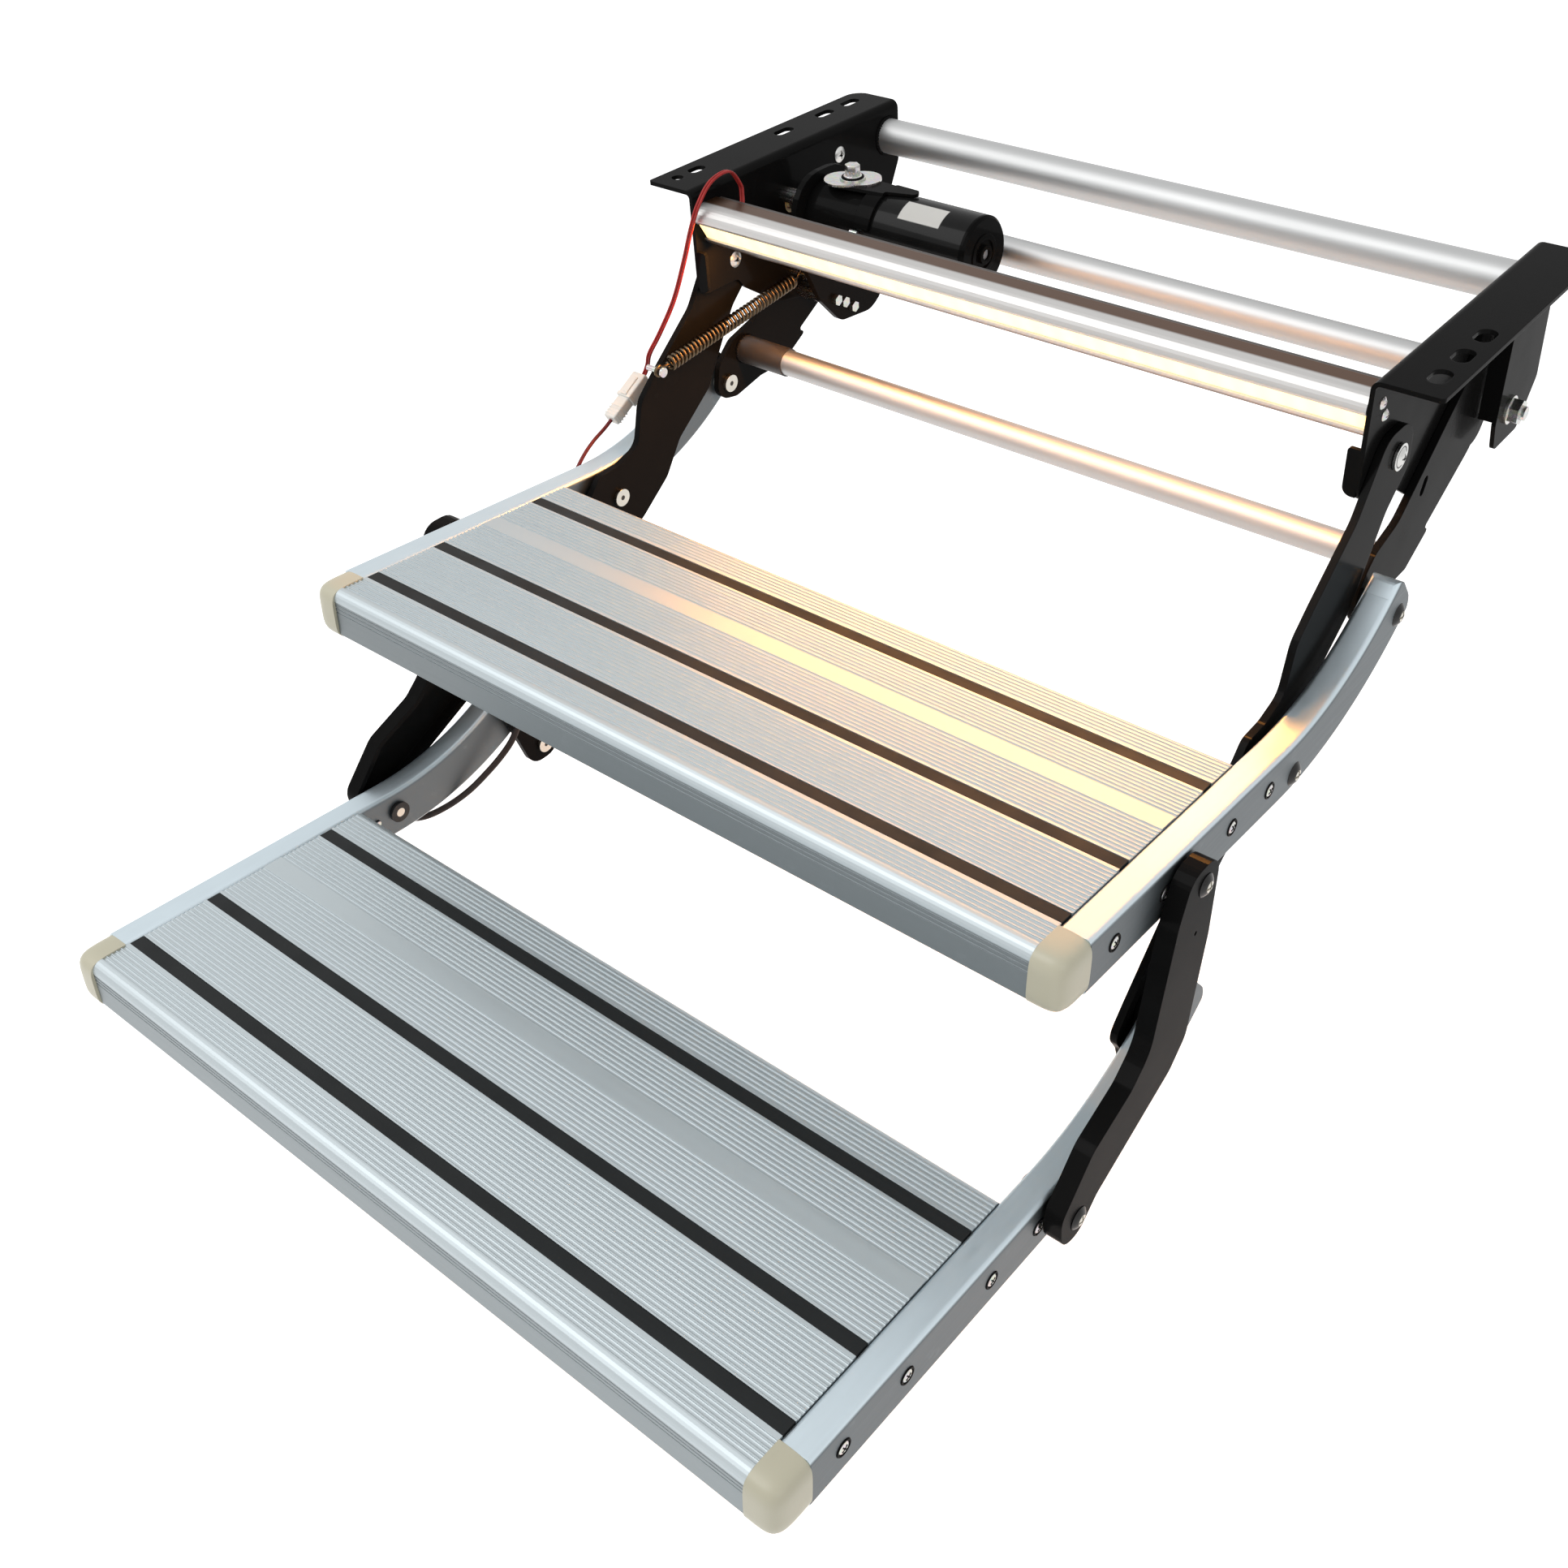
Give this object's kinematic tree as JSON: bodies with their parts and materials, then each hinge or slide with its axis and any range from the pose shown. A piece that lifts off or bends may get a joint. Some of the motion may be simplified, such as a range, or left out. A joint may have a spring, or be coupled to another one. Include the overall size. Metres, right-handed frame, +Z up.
{
  "type": "caravan pull out step",
  "caption": "Electric folding double step on two slotted floor brackets, with ribbed treads, parallel arms, a gearmotor, a balance spring and a light bar",
  "frame": {"origin": "middle of the front edge of the two mounting flanges, on their top face, which meets the vehicle floor", "axes": "+X to the right across the step, +Y toward the inside of the vehicle, +Z up; the step folds out toward -Y"},
  "size_m": [0.6346, 0.8487, 0.4],
  "materials": {
    "aluminium_tread": "satin anodised, ribbed",
    "aluminium_rail": "satin anodised, cool grey",
    "aluminium_profile": "satin",
    "zinc": "bright zinc plated",
    "black_steel": "semi gloss black powder coat",
    "black_motor": "satin black paint",
    "crank_steel": "ground",
    "magnet": "matte",
    "winding": "varnished copper wire on laminated steel",
    "bronze": "sintered, oiled",
    "spring_steel": "oiled black spring wire",
    "pin_head": "black, domed",
    "cap_plastic": "cream moulding",
    "nylon": "natural nylon",
    "rubber": "smooth black strip",
    "diffuser": "warm white diffuser",
    "cover": "dark brown",
    "sleeve": "black heat shrink sleeve",
    "red_lead": "dark red wire insulation",
    "cable": "black cable jacket"
  },
  "bodies": {
    "frame": {"left_bracket": "black_steel", "right_bracket": "black_steel", "back_tube": "zinc", "middle_tube": "zinc", "light_bar": "aluminium_profile", "light_strip": "diffuser", "light_bar_cover": "cover", "light_bar_screws": "zinc", "gearbox_plate": "black_steel", "standoffs": "zinc", "standoff_screws": "zinc", "plate_bolts": "zinc", "gearbox_housing": "black_motor", "motor_can": "black_motor", "motor_end_cap": "black_motor", "field_magnets": "magnet", "motor_strap": "black_motor", "strap_washer": "zinc", "strap_bolt": "zinc", "motor_screws": "zinc", "output_bush": "bronze", "spring_peg": "zinc", "stop_bracket": "black_steel", "stop_bolt": "zinc", "front_pivot_bolts": "zinc", "rear_pivot_bolts": "zinc", "supply_lead": "red_lead"},
    "front_arms": {"left_front_arm": "black_steel", "right_front_arm": "black_steel", "spring_hook_pin": "zinc", "lead_connector": "nylon"},
    "rear_arms": {"left_rear_arm": "black_steel", "right_rear_arm": "black_steel", "torsion_tube": "zinc", "torsion_sleeve": "sleeve"},
    "upper_step": {"upper_tread": "aluminium_tread", "upper_strips": "rubber", "upper_left_rail": "aluminium_rail", "upper_right_rail": "aluminium_rail", "upper_end_caps": "cap_plastic", "upper_screws": "zinc", "upper_pivot_pins": "pin_head", "pivot_spacers": "nylon", "rail_lead": "red_lead"},
    "lower_step": {"lower_tread": "aluminium_tread", "lower_strips": "rubber", "lower_left_rail": "aluminium_rail", "lower_right_rail": "aluminium_rail", "lower_end_caps": "cap_plastic", "lower_screws": "zinc", "lower_hinge_lugs": "black_steel", "lower_pivot_pins": "pin_head", "step_cable": "cable"},
    "outer_links": {"left_link": "black_steel", "right_link": "black_steel"},
    "crank": {"output_crank": "crank_steel", "drive_pins": "zinc"},
    "drive_link": {"drive_link": "black_steel"},
    "armature": {"armature": "winding"},
    "spring": {"balance_spring": "spring_steel"}
  },
  "joints": [
    {"name": "main_fold", "type": "hinge", "parent": "frame", "child": "front_arms", "pos_m": [0, 0.041, -0.0655], "axis": [1, 0, 0], "range_deg": [0, 84], "deforming": ["balance_spring", "supply_lead"]},
    {"name": "rear_arm_swing", "type": "hinge", "parent": "frame", "child": "rear_arms", "pos_m": [0, 0.17207, -0.02232], "axis": [1, 0, 0], "range_deg": [0, 84]},
    {"name": "upper_step_tilt", "type": "hinge", "parent": "front_arms", "child": "upper_step", "pos_m": [0, -0.10561, -0.20807], "axis": [1, 0, 0], "range_deg": [-84, 0], "deforming": ["rail_lead"]},
    {"name": "lower_step_tilt", "type": "hinge", "parent": "front_arms", "child": "lower_step", "pos_m": [0, -0.21996, -0.37761], "axis": [1, 0, 0], "range_deg": [-84, 0], "deforming": ["step_cable"]},
    {"name": "outer_link_swing", "type": "hinge", "parent": "upper_step", "child": "outer_links", "pos_m": [0, -0.24055, -0.18971], "axis": [1, 0, 0], "range_deg": [0, 84]},
    {"name": "output_turn", "type": "hinge", "parent": "frame", "child": "crank", "pos_m": [0, 0.11, -0.0424], "axis": [1, 0, 0], "range_deg": [0, 84]},
    {"name": "drive_link_turn", "type": "hinge", "parent": "crank", "child": "drive_link", "pos_m": [0, 0.08491, -0.0668], "axis": [1, 0, 0], "range_deg": [-84, 0]},
    {"name": "spring_swing", "type": "hinge", "parent": "front_arms", "child": "spring", "pos_m": [0, -0.05601, -0.12007], "axis": [1, 0, 0], "range_deg": [-18.11, 0]},
    {"name": "armature_turn", "type": "hinge", "parent": "frame", "child": "armature", "pos_m": [0, 0.11, -0.0424], "axis": [1, 0, 0], "range_deg": [0, 10500]}
  ],
  "couplings": [
    {"joint": "rear_arm_swing", "follows": "main_fold", "ratio": 1},
    {"joint": "upper_step_tilt", "follows": "main_fold", "ratio": -1},
    {"joint": "lower_step_tilt", "follows": "main_fold", "ratio": -1},
    {"joint": "outer_link_swing", "follows": "main_fold", "ratio": 1},
    {"joint": "output_turn", "follows": "main_fold", "ratio": 1},
    {"joint": "drive_link_turn", "follows": "main_fold", "ratio": -1},
    {"joint": "armature_turn", "follows": "main_fold", "ratio": 125},
    {"joint": "spring_swing", "follows": "main_fold", "ratio": -0.21558}
  ]
}
